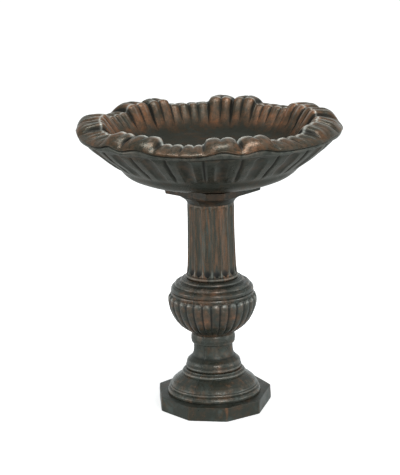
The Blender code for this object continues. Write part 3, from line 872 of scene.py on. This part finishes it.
def nut(node, mat):
    """A hexagon nut with its corners chamfered to a cone at both ends."""
    (x0, _, low), (x1, _, high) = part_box(node)
    flat = (x1 - x0) / 2 * math.cos(math.pi / 6)    # half the width across its flats
    bore = ROD_R + THREAD_GAP
    bevel_r, bevel_z = 0.0005, 0.0006               # at the mouths of the bore
    angle = around(96)
    hexagon = flat / np.cos((angle + math.pi / 6) % (math.pi / 3) - math.pi / 6)
    levels = np.linspace(0, 1, 11)[:, None]
    rise = np.minimum(levels, 1 - levels) * (high - low)
    side = np.minimum(hexagon, flat * 0.97 + rise * 1.9)
    r = np.vstack([bore + bevel_r + 0 * angle, side, bore + bevel_r + 0 * angle,
                   bore + 0 * angle, bore + 0 * angle])
    z = np.vstack([low + 0 * angle, low + (high - low) * levels + 0 * angle, high + 0 * angle,
                   high - bevel_z + 0 * angle, low + bevel_z + 0 * angle])
    return build(node + "_part", turned(r, z, angle), mat, "pedestal", node,
                 sharp=35)


def rod(mat):
    """The tie rod, with a rolled thread at each end."""
    low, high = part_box("tie_rod")[0][2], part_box("tie_rod")[1][2]
    threaded, run_out, depth = 0.030, 0.004, 0.0007
    rows_per_turn = 6
    step = THREAD_PITCH / rows_per_turn
    levels = np.concatenate([np.arange(low, low + threaded, step),
                             np.linspace(low + threaded, high - threaded, 12),
                             np.arange(high - threaded + step, high, step), [high]])
    angle = around(28)
    z = levels[:, None] + 0 * angle
    tooth = np.abs((z / THREAD_PITCH - angle / TAU) % 1.0 - 0.5) * 2
    from_end = np.minimum(z - low, high - z)
    thread = smoothstep(threaded, threaded - run_out, from_end)
    r = ROD_R - thread * tooth * depth - smoothstep(0.001, 0.0, from_end) * 0.0008
    return build("tie_rod_part", turned(r, z, angle), mat, "pedestal", "tie_rod",
                 closed=False, sharp=50)


def make_hardware(steel, black):
    for node, edge in (("clamp_plate", 0.0008), ("bottom_washer", 0.0004),
                       ("top_washer", 0.0004)):
        ring(node, ROD_HOLE_R, edge, steel, "pedestal")
    for node in ("bottom_nut", "top_nut", "top_lock_nut"):
        nut(node, steel)
    rod(steel)
    ring("seat_ring", 0.0600, 0.0008, black, "seat_ring", columns=144)


# ---------------------------------------------------------------- studio
WHITE = (1.0, 1.0, 1.0, 1.0)
# Brightness of the surroundings from straight down (0) over level (0.5) to straight up (1):
# a bright backdrop that fades out about 15 degrees up, between a dim floor and ceiling.
SKY = ((0.0, 0.50), (0.42, 0.60), (0.49, 1.00), (0.54, 0.90), (0.62, 0.42), (0.90, 0.42),
       (1.0, 0.55))
# Name, place, height aimed at on the axis, width, depth and watts of each lamp.
LAMPS = (("overhead", (0.1, -0.25, 3.0), 0.6, 1.8, 0.6, 60.0),
         ("front_fill", (0.9, -3.0, 1.5), 0.3, 0.9, 0.9, 29.0),
         ("right_fill", (2.8, -0.7, 0.6), 0.3, 0.8, 0.8, 10.0),
         ("left_fill", (-2.8, -0.7, 0.6), 0.3, 0.8, 0.8, 10.0))


def surroundings(world):
    tree = Tree(world)
    direction = tree.new("ShaderNodeTexCoord").outputs["Generated"]
    height = tree.new("ShaderNodeSeparateXYZ", {0: direction}).outputs[2]
    ramp = tree.new("ShaderNodeValToRGB", {0: tree.add(tree.times(height, 0.5), 0.5)})
    steps = ramp.color_ramp.elements
    steps[0].position, steps[1].position = SKY[0][0], SKY[-1][0]
    for place, _ in SKY[1:-1]:
        steps.new(place)
    for step, (_, bright) in zip(steps, SKY):
        step.color = (0.94 * bright, bright, bright, 1.0)
    tree.links.new(ramp.outputs[0], tree.nodes["Background"].inputs["Color"])


def studio_floor():
    """A pale floor that lights nothing and is not mirrored; only the pieces shade it."""
    half = 30.0
    mesh = bpy.data.meshes.new("studio_floor")
    mesh.from_pydata([(-half, -half, 0), (half, -half, 0), (half, half, 0), (-half, half, 0)],
                     [], [(0, 1, 2, 3)])
    mesh.materials.append(principled("pale_floor", lambda tree: {
        "Base Color": (0.80, 0.80, 0.80, 1.0), "Roughness": 0.9,
        "Emission Color": WHITE, "Emission Strength": 0.72}))
    floor = bpy.data.objects.new("studio_floor", mesh)
    bpy.context.scene.collection.objects.link(floor)
    floor.visible_diffuse = False
    floor.visible_glossy = False


def area_light(name, place, aim, width, depth, watts):
    lamp = bpy.data.lights.new(name, "AREA")
    lamp.shape = "RECTANGLE"
    lamp.size, lamp.size_y = width, depth
    lamp.energy = watts
    obj = bpy.data.objects.new(name, lamp)
    bpy.context.scene.collection.objects.link(obj)
    obj.location = place
    away = Vector(place) - Vector((0, 0, aim))
    obj.rotation_euler = away.to_track_quat("Z", "Y").to_euler()


def studio():
    scene = bpy.context.scene
    scene.view_settings.view_transform = "Standard"
    scene.world = bpy.data.worlds.new("studio")
    surroundings(scene.world)
    studio_floor()
    for lamp in LAMPS:
        area_light(*lamp)


def camera():
    """The photograph's view: about 5 m away, looking down a little and hardly rolled."""
    place = (-0.0291, -5.0, 1.73)
    down, roll = math.radians(14.32), math.radians(-1.20)
    lens = bpy.data.cameras.new("camera")
    lens.sensor_width = 36.0
    lens.lens = 151.4
    obj = bpy.data.objects.new("camera", lens)
    bpy.context.scene.collection.objects.link(obj)
    obj.matrix_world = (Matrix.Translation(place)
                        @ Matrix.Rotation(math.pi / 2 - down, 4, "X")
                        @ Matrix.Rotation(roll, 4, "Z"))
    bpy.context.scene.camera = obj


def main():
    make_plinth(patina("plinth_patina", 1.0, rust=0.8, grey=0.6, rough=0.32, tone=1.7,
                       gleam=0.45))
    make_base(patina("base_patina", 2.0, rust=0.8, grey=0.40, rough=0.24, tone=2.1, vary=2.3,
                     gleam=0.6))
    neck = patina("neck_patina", 3.0, rust=0.8, grey=0.40, rough=0.27, tone=1.75, vary=2.2,
                  gleam=0.5)
    make_neck(neck)
    make_collar(neck)
    knop = patina("knop_patina", 4.0, rust=0.9, grey=0.40, rough=0.20, tone=1.72, vary=2.4,
                  gleam=0.7)
    make_knop_lower(knop)
    make_knop_upper(knop)
    make_shaft(patina("shaft_patina", 5.0, stretch=(3.4, 3.4, 0.32), rust=0.55, grey=0.6,
                      rough=0.32, tone=2.0, vary=2.4, gleam=0.45))
    make_capital(patina("capital_patina", 6.0, rust=0.6, grey=0.45, rough=0.34))
    make_basin(patina("basin_patina", 7.0, rust=0.85, rough=0.29, grain=0.7, tone=1.15,
                      tint=(1.0, 0.93, 0.82), gleam=0.27))
    make_hardware(zinc("zinc_plate"), rubber("black_rubber"))
    studio()
    camera()


main()
